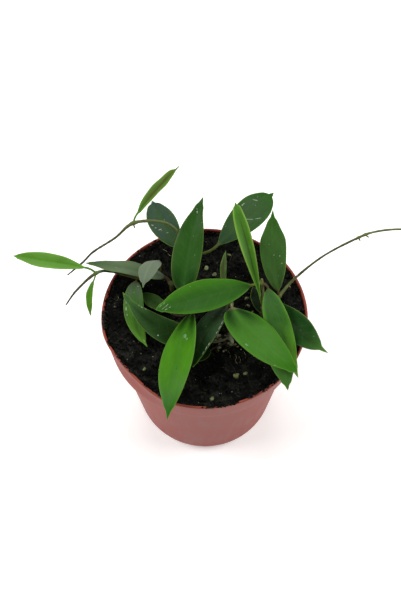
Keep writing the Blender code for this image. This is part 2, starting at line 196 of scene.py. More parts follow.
def ramp(tree, value, low, high, start, end, **settings):
    """Reads start at low and end at high, and holds them outside."""
    return node(tree, "MapRange", {0: value, 1: low, 2: high, 3: start, 4: end}, **settings)


def maths(tree, operation, *values):
    return node(tree, "Math", dict(enumerate(values)), operation=operation)


def mixed(tree, share, first, second):
    return node(tree, "MixRGB", {0: share, 1: first, 2: second})


def scaled(tree, colour, share):
    return node(tree, "VectorMath", {0: colour, 3: share}, operation="SCALE")


def bumps(tree, height, strength, distance):
    return node(tree, "Bump", {"Strength": strength, "Distance": distance, "Height": height})


def attribute(tree, name, output):
    return node(tree, "Attribute", {}, attribute_name=name).outputs[output]


def start_material(name, constants):
    """A new material with its constants set, its node tree, and the place that its patterns follow."""
    made = bpy.data.materials.new(name)
    made.use_nodes = True
    shader = made.node_tree.nodes["Principled BSDF"]
    for socket, value in constants.items():
        shader.inputs[socket].default_value = linear(value) if isinstance(value, str) else value
    return made, made.node_tree, node(made.node_tree, "TexCoord", {}).outputs["Object"]


def end_material(made, sources):
    """Wires each named socket of the material's shader to a node."""
    shader = made.node_tree.nodes["Principled BSDF"]
    for socket, source in sources.items():
        made.node_tree.links.new(source.outputs[0], shader.inputs[socket])
    return made


def new_skin():
    """An empty mesh with the two layers that the materials read: place on the piece, and tone."""
    bm = bmesh.new()
    return bm, bm.verts.layers.float_vector.new("spot"), bm.verts.layers.float_color.new("tone")


def sleeve(bm, rows, columns, put):
    """Rolls a grid into a closed tube. put(vert, row, column) places each vertex.

    The faces of the first half of the columns take material 0 and the rest take material 1.
    """
    made = bmesh.ops.create_grid(bm, x_segments=columns, y_segments=rows, size=0.5)["verts"]
    faces = {face for vert in made for face in vert.link_faces}
    for face in faces:
        face.material_index = int(face.calc_center_median().x > 0)
    placed = [(vert, round((vert.co.y + 0.5) * rows), round((vert.co.x + 0.5) * columns)) for vert in made]
    for vert, row, column in placed:
        put(vert, row, column % columns)
    bmesh.ops.remove_doubles(bm, verts=made, dist=1e-4)
    rims = {edge for face in faces if face.is_valid for edge in face.edges if edge.is_boundary}
    bmesh.ops.holes_fill(bm, edges=list(rims), sides=0)


def placed(name, data):
    """A new object in the scene for a mesh, the camera or a lamp."""
    made = bpy.data.objects.new(name, data)
    bpy.context.scene.collection.objects.link(made)
    return made


def placed_mesh(name, bm):
    """The drawn mesh as an object in the scene, in metres."""
    bmesh.ops.scale(bm, vec=Vector((MM, MM, MM)), verts=bm.verts)
    mesh = bpy.data.meshes.new(name)
    bm.to_mesh(mesh)
    bm.free()
    return placed(name, mesh)


def finish_piece(bm, name, materials, slot, replaces=()):
    """The finished mesh as a piece of the scene, in metres, with its faces pointing out."""
    bmesh.ops.recalc_face_normals(bm, faces=bm.faces)
    piece = placed_mesh(name, bm)
    piece.data.shade_smooth()
    for material in materials:
        piece.data.materials.append(material)
    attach(piece, BODY)
    for node_name in replaces:
        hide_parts(node_name)
    return piece


# Materials


def pot_material():
    """Injection-moulded polypropylene, thin, with a dull film of lime and dust outside.

    The film makes it pinkish and nearly matt. The wiped lip and the inside keep the clean red.
    """
    made, tree, place = start_material("pot_moulded_polypropylene", {"IOR": 1.49, "Specular IOR Level": 0.25})
    mask = node(tree, "SeparateXYZ", {0: attribute(tree, "spot", "Vector")})
    clean, height = mask.outputs["X"], mask.outputs["Z"]
    # clouds of dust 25 mm wide, and runs of it 4 mm wide and 40 mm long down the wall
    stretched = node(tree, "Mapping", {"Vector": place, "Scale": (1 / 0.004, 1 / 0.004, 1 / 0.04)})
    film = maths(tree, "ADD", clouds(tree, place, 0.025, 4, 0.6), clouds(tree, stretched, 1, 3, 0.55))
    film = ramp(tree, film, 0.75, 1.25, 0, 1)
    # the wall is a little redder low down
    wall = mixed(tree, film, "8A4037", "995047")
    wall = mixed(tree, ramp(tree, height, 0, 60, 0.55, 0), wall, "8E3E35")
    colour = mixed(tree, clean, wall, "8E4233")
    # splashes of dark soil about 2 mm wide
    splash = ramp(tree, clouds(tree, place, 0.0022, 2), 0.73, 0.79, 0, 0.55)
    colour = mixed(tree, splash, colour, "5A3A33")
    gloss = mixed(tree, clean, ramp(tree, film, 0, 1, 0.46, 0.62), (0.55, 0.55, 0.55, 1))
    # the slight orange peel of the mould, 1.2 mm across
    peel = bumps(tree, clouds(tree, place, 0.0012, 2), 0.12, 0.0002)
    return end_material(made, {"Base Color": colour, "Roughness": gloss, "Normal": peel})


def soil_material():
    """Damp black peat and bark dust: nearly black, greyer where the grain noise is high, as a painted
    highlight on the crumbs.
    """
    made, tree, place = start_material("soil_black_peat", {"IOR": 1.4, "Specular IOR Level": 0.12})
    # grains 1.4 mm wide, clods 7 mm wide
    grains, clods = clouds(tree, place, 0.0014, 5, 0.75), clouds(tree, place, 0.007, 4, 0.6)
    # painted highlight: grey where the grain and clod noises are high, over near black
    painted_highlight = ramp(tree, maths(tree, "MULTIPLY", grains, clods), 0.23, 0.37, 0, 1)
    colour = mixed(tree, painted_highlight, "060605", "2D2D27")
    # bark dust, 1 mm flecks of brown in some of the cells
    flecks = cells(tree, place, 0.0024)
    near = ramp(tree, flecks, 0.12, 0.22, 1, 0)
    pick = ramp(tree, node(tree, "SeparateXYZ", {0: flecks.outputs["Color"]}), 0.84, 0.92, 0, 0.7)
    colour = mixed(tree, maths(tree, "MULTIPLY", near, pick), colour, "524C3F")
    damp = ramp(tree, clods, 0.35, 0.65, 0.62, 0.95)
    return end_material(made, {
        "Base Color": colour, "Roughness": damp, "Normal": bumps(tree, grains, 1.0, 0.0009),
    })


def mineral_material(name, dark, light, size, roughness):
    """Small loose pieces and dried films, each a little different from its neighbour."""
    made, tree, place = start_material(name, {"Roughness": roughness, "Specular IOR Level": 0.4})
    spread = ramp(tree, clouds(tree, place, size, 4, 0.6), 0.35, 0.65, 0, 1)
    grain = bumps(tree, clouds(tree, place, 0.0005, 3), 0.5, 0.0002)
    return end_material(made, {"Base Color": mixed(tree, spread, dark, light), "Normal": grain})


def stem_material():
    """Young vine stem: a thin satin skin, green to olive-brown along its length, with corky specks."""
    made, tree, place = start_material("stem_green_bark", {"Roughness": 0.55, "Specular IOR Level": 0.4})
    # patches 3 mm long, specks 0.6 mm wide
    patches = clouds(tree, place, 0.003, 4, 0.6)
    colour = scaled(tree, attribute(tree, "tone", "Color"), ramp(tree, patches, 0.3, 0.7, 0.72, 1.25))
    specks = ramp(tree, clouds(tree, place, 0.0006, 1), 0.66, 0.72, 0, 0.5)
    colour = mixed(tree, specks, colour, "857B56")
    return end_material(made, {"Base Color": colour, "Normal": bumps(tree, patches, 0.35, 0.0002)})


def leaf_material(name, underside, roughness, gloss, contrast):
    """Wax-vine leaf: a thick smooth cuticle with a soft sheen over unevenly green flesh.

    The side veins lie deep in the flesh and hardly show. The margin is thinner and lets light through,
    and its paler line is partly a painted edge highlight.
    The underside is paler, greyer and duller. spot holds the place across the blade, along it, and in
    from its margin, in millimetres.
    """
    made, tree, _place = start_material(name, {"IOR": 1.45, "Specular IOR Level": gloss})
    across, along, inward = node(tree, "SeparateXYZ", {0: attribute(tree, "spot", "Vector")}).outputs
    side = maths(tree, "ABSOLUTE", across)
    flat = node(tree, "CombineXYZ", {0: across, 1: along})

    def stretched(width, length):
        return node(tree, "VectorMath", {0: flat, 1: (1 / width, 1 / length, 0)}, operation="MULTIPLY")

    # uneven flesh: patches 4 mm by 9 mm, streaks 0.9 mm by 14 mm, grain 0.7 mm
    patches = clouds(tree, stretched(4, 9), 1, 4, 0.6)
    streaks = clouds(tree, stretched(0.9, 14), 1, 2)
    grain = clouds(tree, flat, 0.7, 3, 0.6)
    flesh = maths(tree, "MULTIPLY_ADD", streaks, 0.35, maths(tree, "MULTIPLY", patches, 0.45))
    flesh = maths(tree, "MULTIPLY_ADD", grain, 0.2, flesh)
    shade = ramp(tree, flesh, 0.35, 0.65, 1 - contrast, 1 + contrast)
    body = scaled(tree, attribute(tree, "tone", "Color"), shade)

    # side veins every 6.5 mm, swept forward, and the midrib 1 mm wide
    sweep = maths(tree, "MULTIPLY_ADD", side, -0.9, along)
    sweep = maths(tree, "MULTIPLY_ADD", patches, 3.5, sweep)
    waves = maths(tree, "SINE", maths(tree, "MULTIPLY", sweep, 2 * pi / 6.5))
    veins = ramp(tree, waves, 0.82, 1, 0, 1, interpolation_type="SMOOTHSTEP")
    rib = ramp(tree, side, 0.3, 0.75, 1, 0, interpolation_type="SMOOTHSTEP")
    fading = ramp(tree, inward, 0.8, 3.2, 0, 1)
    veins, rib = (maths(tree, "MULTIPLY", line, fading) for line in (veins, rib))
    seen = maths(tree, "MULTIPLY", veins, 0.05)
    seen = maths(tree, "MULTIPLY_ADD", rib, 0.3 if underside else 0.02, seen)
    colour = mixed(tree, seen, body, mixed(tree, 0.35, body, "9DB36B"))

    # the translucent margin, 0.5 mm wide, and a slightly brighter band inside it: partly the thin margin's
    # own paler green, partly a painted edge highlight
    colour = mixed(tree, ramp(tree, inward, 0.2, 2.4, 0.3, 0), colour, scaled(tree, body, 1.35))
    colour = mixed(tree, ramp(tree, inward, 0.1, 0.55, 0.45, 0), colour, "7C9A45")
    if underside:
        colour = mixed(tree, 0.3, colour, "8C9C80")

    # chalky specks of dried hard water, 0.3 mm wide; the tone's alpha says how many a leaf has
    drops = cells(tree, flat, 1.5)
    near = ramp(tree, drops, 0.08, 0.17, 0.75, 0)
    chance = node(tree, "SeparateXYZ", {0: drops.outputs["Color"]})
    chance = maths(tree, "ADD", chance, attribute(tree, "tone", "Alpha"))
    chance = maths(tree, "GREATER_THAN", chance, 1.0)
    colour = mixed(tree, maths(tree, "MULTIPLY", near, chance), colour, "B9C4B0")

    wax = ramp(tree, patches, 0.35, 0.65, roughness - 0.06, roughness + 0.08)
    relief = maths(tree, "MULTIPLY_ADD", patches, 0.9, maths(tree, "MULTIPLY", veins, -0.12))
    relief = maths(tree, "MULTIPLY_ADD", grain, 0.14, relief)
    return end_material(made, {
        "Base Color": colour, "Roughness": wax, "Normal": bumps(tree, relief, 0.35, 0.0003),
    })


def floor_material():
    """Plain pale matt paper over a faint light table, which keeps the ground white behind the plant."""
    return start_material("floor_paper", {
        "Base Color": "F7F7F5", "Roughness": 0.9, "Specular IOR Level": 0.1,
        "Emission Color": "FFFFFF", "Emission Strength": 0.3,
    })[0]


# Pot


def wall_radius(height):
    """Outer radius of the tapered wall below the collar, rounded in at the foot."""
    top = RIM_RADIUS - COLLAR_TAPER - COLLAR_STEP
    straight = FOOT_RADIUS + (top - FOOT_RADIUS) * height / COLLAR_BASE
    return straight - FOOT_ROUND_DEPTH * max(0, 1 - height / FOOT_ROUND_HEIGHT) ** 2


def inner_outline(gap):
    """(radius, height) up the inside of the base and wall to the lip, drawn in by a gap."""
    floor = BASE_RECESS + BASE_THICKNESS + gap
    low = Vector((RIM_RADIUS - COLLAR_TAPER - WALL - gap, COLLAR_BASE + 2.1))
    high = Vector((RIM_RADIUS - 0.6 - WALL - gap, POT_HEIGHT - 2.8))
    return [
        (PAD_RADIUS - 0.9 - gap / 2, BASE_THICKNESS + gap),
        (PAD_RADIUS + 1.6 - gap / 2, floor),
        (wall_radius(floor) - WALL - gap, floor),
        (wall_radius(FOOT_ROUND_HEIGHT) - WALL - gap, FOOT_ROUND_HEIGHT),
        (wall_radius(COLLAR_BASE) - WALL - gap, COLLAR_BASE - 0.5),
        *[tuple(low.lerp(high, k / 4)) for k in range(5)],
    ]


def rounded(points, reach, steps=4):
    """An outline with each corner between its two ends drawn as a small curve."""
    out = [points[0]]
    for before, corner, after in zip(points, points[1:], points[2:]):
        corner, ends = Vector(corner), []
        for other in (Vector(before), Vector(after)):
            arm = other - corner
            ends.append(corner + arm * min(reach / arm.length, 0.45))
        for k in range(steps + 1):
            t = k / steps
            out.append(ends[0] * (1 - t) ** 2 + corner * 2 * t * (1 - t) + ends[1] * t * t)
    return [*out, points[-1]]


def turned(bm, outline, sides):
    """Turns an outline of (radius, height) points that starts and ends on the axis."""
    rings = []
    for radius, height in outline:
        angles = [2 * pi * k / sides for k in range(sides if radius > 0 else 1)]
        rings.append([bm.verts.new((radius * cos(angle), radius * sin(angle), height)) for angle in angles])
    for low, high in zip(rings, rings[1:]):
        for k in range(sides):
            corners = (low, k), (low, k + 1), (high, k + 1), (high, k)
            bm.faces.new(list(dict.fromkeys(ring[at % len(ring)] for ring, at in corners)))


def drilled(piece, drills, low, high):
    """Takes upright round holes out of a finished piece and leaves no modifier on it."""
    bm = bmesh.new()
    for x, y, radius in drills:
        made = bmesh.ops.create_cone(
            bm, cap_ends=True, segments=32, radius1=radius, radius2=radius, depth=high - low
        )
        bmesh.ops.translate(bm, vec=(x, y, (low + high) / 2), verts=made["verts"])
    cutter = placed_mesh("drills", bm)
    boolean = piece.modifiers.new("Holes", "BOOLEAN")
    boolean.operation = "DIFFERENCE"
    boolean.solver = "EXACT"
    boolean.object = cutter
    bpy.context.view_layer.update()
    cut = bpy.data.meshes.new_from_object(piece.evaluated_get(bpy.context.evaluated_depsgraph_get()))
    piece.modifiers.clear()
    piece.data = cut
    cut.name = piece.name
    bpy.data.objects.remove(cutter, do_unlink=True)


def press_in(bm):
    """Pushes the rim in over the dent, from the collar's base up. The soil's edge gives way with it."""
    for vert in bm.verts:
        radius = vert.co.xy.length
        heading = degrees(atan2(vert.co.y, vert.co.x)) % 360
        dent = max(0, 1 - ((heading - DENT_HEADING) / DENT_SPREAD) ** 2) ** 2
        dent *= smooth((vert.co.z - COLLAR_BASE) / 14) * smooth((radius - 40) / 14)
        if dent > 0:
            vert.co.xy *= 1 - DENT_DEPTH * dent / radius


def add_pot():
    contact = wall_radius(0)
    lip_middle = Vector((RIM_RADIUS - LIP_WIDTH / 2, POT_HEIGHT - LIP_WIDTH / 2))
    lip_angles = [radians(angle) for angle in range(190, -61, -18)]
    lip = [lip_middle + LIP_WIDTH / 2 * Vector((cos(angle), sin(angle))) for angle in lip_angles]
    top = Vector((RIM_RADIUS - 0.5, POT_HEIGHT - 2.4))
    bottom = Vector((RIM_RADIUS - COLLAR_TAPER, COLLAR_BASE))
    walls = [
        *[tuple(top.lerp(bottom, k / 6)) for k in range(7)],
        (wall_radius(COLLAR_BASE), COLLAR_BASE - 1.4),
    ]
    foot_heights = (70, 50, 30, FOOT_ROUND_HEIGHT, 7.4, 6, 4.8, 3.6, 2.6, 1.6, 0.8)
    foot = [(wall_radius(height), height) for height in foot_heights]
    under = [
        (contact, 0), (contact - FOOT_RING, 0), (contact - FOOT_RING - 0.4, BASE_RECESS),
        (PAD_RADIUS + BASE_RECESS, BASE_RECESS), (PAD_RADIUS, 0), (0, 0),
    ]
    bm, spot, _tone = new_skin()
    outline = [(0, BASE_THICKNESS), *inner_outline(0), *lip, *walls, *foot, *under]
    turned(bm, rounded(outline, 0.6, 3), POT_SIDES)
    # (height, radius) half way through the wall, which parts its outside from its inside
    middle_of_wall = [
        (0, 0), (4, 30), (9, 43.2), (COLLAR_BASE - 0.6, 53.2), (COLLAR_BASE + 2, 56.6), (105, 59.3),
    ]
    for vert in bm.verts:
        radius, height = vert.co.xy.length, vert.co.z
        inside = radius < between(height, middle_of_wall)
        wiped = 0.95 * smooth((height - (POT_HEIGHT - 5.8)) / 2.6)
        vert[spot] = (max(float(inside and height < POT_HEIGHT - 2), wiped), 0, height)
    press_in(bm)
    pot = finish_piece(bm, "pot_shell", [pot_material()], "pot_plastic", ["pot"])
    angles = [2 * pi * i / DRAIN_COUNT for i in range(DRAIN_COUNT)]
    drills = [(DRAIN_CIRCLE * cos(angle), DRAIN_CIRCLE * sin(angle), DRAIN_RADIUS) for angle in angles]
    drilled(pot, drills, -1, BASE_RECESS + 2 * BASE_THICKNESS)
    pot.data.set_sharp_from_angle(angle=radians(40))


# Soil


def soil_level(x, y):
    """Height of the soil's surface: dished, with clods, crumbs and the knot of old roots."""
    radius, place = hypot(x, y), Vector((x, y, 0))
    rise = smooth((radius - SOIL_DISH_RADIUS) / (SOIL_RADIUS - SOIL_DISH_RADIUS))
    mean = SOIL_MIDDLE_LEVEL + (SOIL_EDGE_LEVEL - SOIL_MIDDLE_LEVEL) * rise
    clods = noise.noise(place / CLOD_SIZE) * CLOD_HEIGHT
    crumbs = noise.noise(place / CRUMB_SIZE + Vector((9, 4, 2))) * CRUMB_HEIGHT
    grains = noise.fractal(place / GRAIN_SIZE, 0.8, 2.1, 3) * GRAIN_HEIGHT
    clump = smooth(1 - (Vector((x, y)) - ROOT_CLUMP).length / ROOT_CLUMP_RADIUS) * ROOT_CLUMP_HEIGHT
    return mean + clods + crumbs + grains + clump


def on_soil(x, y, lift):
    return Vector((x, y, soil_level(x, y) + lift))


def tumbled(draw):
    return draw.uniform(0, 6), draw.uniform(0, 6), 0


def add_soil(material):
    top = [(SOIL_RADIUS * ring / SOIL_RINGS, SOIL_EDGE_LEVEL) for ring in range(SOIL_RINGS + 1)]
    sides = inner_outline(SOIL_GAP)
    sides[-1] = (SOIL_RADIUS, SOIL_EDGE_LEVEL - 1.6)
    bm, _spot, _tone = new_skin()
    turned(bm, top + sides[::-1] + [(0, BASE_THICKNESS + SOIL_GAP)], SOIL_SIDES)
    for vert in bm.verts:
        if vert.co.z > SOIL_EDGE_LEVEL - 0.1:
            vert.co.z = soil_level(vert.co.x, vert.co.y)
    press_in(bm)
    finish_piece(bm, "soil_bed", [material], "soil_peat", ["soil"])


def crumb(bm, place, size, squash, turn, detail=1):
    """One small irregular lump."""
    shape = Matrix.Diagonal((*squash, 1))
    matrix = Matrix.Translation(place) @ Euler(turn).to_matrix().to_4x4() @ shape
    made = bmesh.ops.create_icosphere(bm, subdivisions=detail, radius=size / 2, matrix=matrix)["verts"]
    for vert in made:
        outward = vert.co - place
        vert.co = place + outward * (1 + 0.45 * noise.noise(vert.co * (1.6 / size) + place))
    return made


def scattered(count, seed, outer=56.5):
    """Seeded places on the soil, even over its area: (x, y, the draws' own random source)."""
    draw = random.Random(seed)
    for _ in range(count):
        radius = sqrt(draw.uniform(0, outer**2))
        angle = draw.uniform(0, 2 * pi)
        yield radius * cos(angle), radius * sin(angle), draw


def add_crumbs(material):
    bm = bmesh.new()
    for x, y, draw in scattered(2100, seed=4, outer=57.2):
        size = 0.7 + 2.5 * draw.random() ** 2.4
        squash = (1, draw.uniform(0.6, 1), draw.uniform(0.5, 0.9))
        turn = (draw.uniform(0, 6), draw.uniform(0, 6), draw.uniform(0, 6))
        crumb(bm, on_soil(x, y, size * 0.18), size, squash, turn)
    # banked against the lip and fallen on to it: each stretch from one heading to another
    draw = random.Random(11)
    for first, last, count, inner, outer in LIP_HEAPS:
        for _ in range(count):
            heading = draw.uniform(first, last) + draw.gauss(0, 0.8)
            angle, size = radians(heading), 0.7 + 1.7 * draw.random() ** 2
            overhang = 0.8 if 264 < heading < 310 else -0.2
            radius = min(draw.uniform(inner, outer), RIM_RADIUS + overhang - size / 2)
            height = POT_HEIGHT + size * 0.2 if radius > 58.6 else SOIL_EDGE_LEVEL + (radius - 56) * 0.4
            height -= max(0, radius - 59.8) * 0.8
            place = Vector((radius * cos(angle), radius * sin(angle), height))
            crumb(bm, place, size, (1, 0.8, 0.7), tumbled(draw))
    press_in(bm)
    finish_piece(bm, "soil_crumbs", [material], "soil_peat")


def add_loose_pieces():
    """Pale perlite chips and slow-release grains that lie on the soil."""
    chips = bmesh.new()
    spots = [(x, y, 0.4 + 0.5 * draw.random() ** 2, draw) for x, y, draw in scattered(60, seed=21)]
    spots += [(x, y, size, spots[0][3]) for x, y, size in PALE_CHIPS]
    for x, y, size, draw in spots:
        crumb(chips, on_soil(x, y, size * 0.25), size, (1, 0.7, 0.6), tumbled(draw))
    chalk = mineral_material("perlite_chips", "7A786A", "B4B2A2", 0.0015, 0.85)
    press_in(chips)
    finish_piece(chips, "perlite_chips", [chalk], "soil_peat")

    grains = bmesh.new()
    for x, y, size, long, turn in SEED_GRAINS:
        crumb(grains, on_soil(x, y, size * 0.22), size, (long, 1, 0.62), (0.2, 0.1, radians(turn)), detail=2)
    husk = mineral_material("husk_grains", "4B5530", "7C8452", 0.0018, 0.5)
    press_in(grains)
    finish_piece(grains, "husk_grains", [husk], "soil_peat")


def strand(bm, layers, points, radius, sides, colour, along=1.0):
    """A fine root or fibre through the points, drawn to a point at both ends."""
    line = curved([(point, radius) for point in points], along)
    rows = len(line) - 1
    spot, painted = layers

    def put(vert, row, column):
        place, thick = line[row]
        ahead = (line[min(row + 1, rows)][0] - line[max(row - 1, 0)][0]).normalized()
        left = ahead.cross(Vector((0, 0, 1)))
        left = left.normalized() if left.length > 1e-3 else Vector((1, 0, 0))
        angle = 2 * pi * column / sides
        thick *= smooth(row / 1.5) * smooth((rows - row) / 1.5)
        vert.co = place + (left * cos(angle) + left.cross(ahead) * sin(angle)) * thick
        vert[spot] = (0, row, 0)
        vert[painted] = colour

    sleeve(bm, rows, sides, put)


def add_fibres(material):
    """Peat fibres over the soil, the pale knot of old roots and the hair roots near it."""
    bm, *layers = new_skin()
    for x, y, draw in scattered(70, seed=33):
        heading, long = draw.uniform(0, 2 * pi), draw.uniform(2.5, 8)
        bend = draw.uniform(-0.9, 0.9)
        points = []
        for k in range(4):
            reach = long * (k / 3 - 0.5)
            px = x + reach * cos(heading + bend * k / 3)
            py = y + reach * sin(heading + bend * k / 3)
            if hypot(px, py) > 56.8:
                break
            points.append(on_soil(px, py, 0.35))
        if len(points) == 4:
            strand(bm, layers, points, draw.uniform(0.07, 0.14), 5, tone("umber"))
    press_in(bm)
    finish_piece(bm, "peat_fibres", [material], "soil_peat")

    bm, *layers = new_skin()
    draw = random.Random(5)
    for _ in range(26):
        middle = ROOT_CLUMP + Vector((draw.gauss(0, 3.0), draw.gauss(0, 1.9)))
        heading, long = draw.uniform(0, pi), draw.uniform(1.6, 4.2)
        points = []
        for k in range(5):
            reach = long * (k / 4 - 0.5)
            px = middle.x + reach * cos(heading) + draw.gauss(0, 0.45)
            py = middle.y + reach * sin(heading) + draw.gauss(0, 0.45)
            points.append(on_soil(px, py, 0.4 + 0.9 * sin(pi * k / 4) * draw.random()))
        thick = draw.uniform(0.16, 0.3)
        strand(bm, layers, points, thick, 6, tone(draw.choice(("twig", "umber", "bark", "umber"))))
    for points in HAIR_ROOTS:
        draped = [on_soil(x, y, 0.5) for x, y in points]
        strand(bm, layers, draped, 0.1, 6, tone("straw"))
    for x, y, size, shade in ROOT_CRUMBS:
        place = on_soil(x, y, 0.5 + size * 0.35)
        for vert in crumb(bm, place, size, (1.3, 0.8, 0.7), tumbled(draw)):
            vert[layers[1]] = tone(shade)
    finish_piece(bm, "root_knot", [material], "soil_peat")


# Stems


def curved(points, step):
    """(place, radius) about every step along a smooth curve through the given (place, radius) points."""
    ends = [points[0], *points, points[-1]]
    out = [points[0]]
    for before, start, stop, after in zip(ends, ends[1:], ends[2:], ends[3:]):
        count = max(1, round((stop[0] - start[0]).length / step))
        for k in range(1, count + 1):
            t = k / count
            place = (
                start[0] * 2
                + (stop[0] - before[0]) * t
                + (before[0] * 2 - start[0] * 5 + stop[0] * 4 - after[0]) * t * t
                + (start[0] * 3 - before[0] - stop[0] * 3 + after[0]) * t**3
            ) / 2
            out.append((place, start[1] + (stop[1] - start[1]) * smooth(t)))
    return out


def add_stem(name, foot, route, material, tones, nodes, nubs=(), bracts=()):
    """A stem that stands in the soil at foot (x, y) and runs through (place, radius) points.

    tones are (share of the length, tone name) stops. nodes are the swollen places. nubs are aerial root
    buds as (place on the stem, heading). bracts are (node, heading, climb, length) of undeveloped leaves.
    """
    radius = route[0][1]
    route = [((*foot, STEM_SINK), radius), ((*foot, SOIL_TOP), radius), *route]
    line = curved([(Vector(place), thick) for place, thick in route], STEM_STEP)
    rows = len(line) - 1
    bm, spot, painted = new_skin()
    stops = [(share, tone(colour)) for share, colour in tones]

    def put(vert, row, column):
        place, thick = line[row]
        ahead = (line[min(row + 1, rows)][0] - line[max(row - 1, 0)][0]).normalized()
        left = ahead.cross(Vector((0.3, 0.2, 1))).normalized()
        angle = 2 * pi * column / STEM_SIDES
        for swollen in nodes:
            thick *= 1 + 0.42 * exp(-((place - swollen).length / 1.25) ** 2)
        thick *= 1 + 0.14 * noise.noise(place / 2.6)
        if row == rows:
            thick *= 0.3
        outward = left * cos(angle) + left.cross(ahead) * sin(angle)
        vert.co = place + outward * thick * (1 + 0.1 * noise.noise((place + outward) / 1.1))
        vert[spot] = (0, row * STEM_STEP, 0)
        colour = between(row / rows, stops)
        for swollen in nodes:
            colour = colour.lerp(tone("reed"), 0.6 * exp(-((place - swollen).length / 1.6) ** 2))
        vert[painted] = colour

    sleeve(bm, rows, STEM_SIDES, put)
    for place, heading, long in nubs:
        out = Vector((cos(radians(heading)), sin(radians(heading)), -0.25))
        points = [place, place + out * long * 0.6, place + out * long]
        strand(bm, (spot, painted), points, 0.34, 7, tone("beige"), 0.4)
    for seat, heading, climb, long in bracts:
        turn, rise = radians(heading), radians(climb)
        out = Vector((cos(rise) * cos(turn), cos(rise) * sin(turn), sin(rise)))
        points = [seat, seat + out * long * 0.5, seat + out * long]
        strand(bm, (spot, painted), points, 0.42, 7, tone("twig"), 0.4)
    finish_piece(bm, name + "_shoot", [material, material], "stem_bark", [name])


def add_stems():
    bark = stem_material()
    # the pale foot of this stem is painted light: brighter than its own colour, where the leaves above shade
    # it
    add_stem("stem_front", (15.5, -16.5), [
        (FRONT_LOW, 1.3), ((15.5, -6, 109), 0.9), (FRONT_TOP, 1.1), (FRONT_TIP, 0.7),
    ], bark, [(0, "crust_painted_light"), (0.22, "crust_painted_light"), (0.36, "twig"), (0.8, "reed"), (1, "reed")],
        [FRONT_LOW, FRONT_TOP, FRONT_TIP])
    add_stem("stem_right", (34.5, -1.5), [
        (RIGHT_LOW, 1.3), ((34.5, 8, 112.3), 0.8), (RIGHT_TOP, 1.0),
        ((33.5, 14.5, 120), 0.6),
    ], bark, [(0, "twig"), (0.6, "twig"), (1, "reed")], [RIGHT_LOW, RIGHT_TOP])
    add_stem("stem_centre", (-6, 5), [
        (CENTRE_LOW, 1.3), ((-8, 19, 115), 0.9), (CENTRE_TOP, 1.1), ((-15.6, 40.9, 131.4), 0.85),
        ((-24.5, 40, 142), 0.8), (CENTRE_WHIP, 1.0), ((-50.5, 32, 138), 0.65), ((-64, 30, 127), 0.65),
        ((-71, 28, 119), 0.6), ((-81, 25, 110), 0.4),
    ], bark, [(0, "twig"), (0.25, "twig"), (0.42, "reed"), (0.62, "reed"), (0.66, "bronze"), (1, "umber")],
        [CENTRE_LOW, CENTRE_TOP, CENTRE_WHIP],
        bracts=[(CENTRE_WHIP, -75, -20, 3.2)])
    add_stem("stem_left", (-19.5, 20), [
        (LEFT_LOW, 1.1), (LEFT_SIDE, 0.9), (LEFT_TOP, 0.9), ((-54.5, 26, 111.5), 0.75),
        (LEFT_WHIP, 0.9), ((-74.5, 12.5, 113), 0.65), ((-81, 5.5, 108), 0.4),
    ], bark, [(0, "twig"), (0.4, "twig"), (0.55, "bronze"), (0.66, "olive"), (0.695, "spring"),
              (0.73, "bronze"), (1, "umber")],
        [LEFT_LOW, LEFT_SIDE, LEFT_TOP, LEFT_WHIP])
    add_stem("stem_whip_right", (39, 5), [
        ((39.5, 5.5, 103), 1.0), (WHIP_NODE, 1.1), ((53.5, 19.5, 111), 0.75),
        ((70, 28, 122), 0.6), ((89, 32, 134.5), 0.7), ((99, 33, 139), 0.65),
        ((112, 31.5, 143), 0.6), ((126, 28.5, 144), 0.4),
    ], bark, [(0, "twig"), (0.2, "reed"), (0.3, "bronze"), (0.63, "bronze"), (0.67, "reed"), (1, "reed")],
        [WHIP_NODE, Vector((89, 32, 134.5)), Vector((92.8, 32.5, 136.3))],
        nubs=[(Vector((50, 16.4, 109)), -60, 1.8), (Vector((53.5, 19.5, 111)), 120, 1.6)],
        bracts=[(Vector((89, 32, 134.5)), 215, -20, 2.4), (Vector((89, 32, 134.5)), -65, -10, 2.4),
                (Vector((92.8, 32.5, 136.3)), -35, -10, 2.6)])


# Leaves


def blade_width(share, widest, taper, drip, pinch):
    """Half width against the widest: a lance shape, then a narrow drip tip over the last share, drip.

    A low taper makes a full blade, a high one a slim blade. pinch hollows the sides before the tip.
    """
    if share <= 0 or share >= 1:
        return 0
    end = 1 - 0.7 * drip
    widest = widest / end
    body_share = min(share / end, 1)
    power = taper * widest / (1 - widest)
    full = widest**power * (1 - widest) ** taper
    body = body_share**power * (1 - body_share) ** taper / full
    body *= 1 - pinch * smooth((share - 0.62) / 0.33)
    tip = DRIP_TIP_WIDTH * min((1 - share) / drip, 1) ** 0.9 * smooth((share - 1 + 2.2 * drip) / (1.2 * drip))
    return hypot(body, tip)


def leaf_tone(share, across, tones, rib, lit, base_to, tip_from):
    """The green at a place: stalk, base, body and tip along the blade, then its fold, its margin and a
    painted sheen on one half.
    """
    colour = tones["base"].lerp(tones["body"], smooth((share - base_to) / 0.34))
    colour = colour.lerp(tones["tip"], smooth((share - tip_from) / 0.4))
    colour = colour.lerp(tones["rib"], 0.8 * exp(-((across / rib) ** 2)) * smooth((0.95 - share) / 0.3))
    colour = colour.lerp(tones["rim"], 0.75 * smooth((abs(across) - 0.62) / 0.38))
    # painted sheen: one half of the blade takes the rim's tone
    colour = colour.lerp(tones["rim"], abs(lit) * smooth(across if lit > 0 else -across))
    return tones["stalk"].lerp(colour, smooth((share + 0.01) / 0.07))


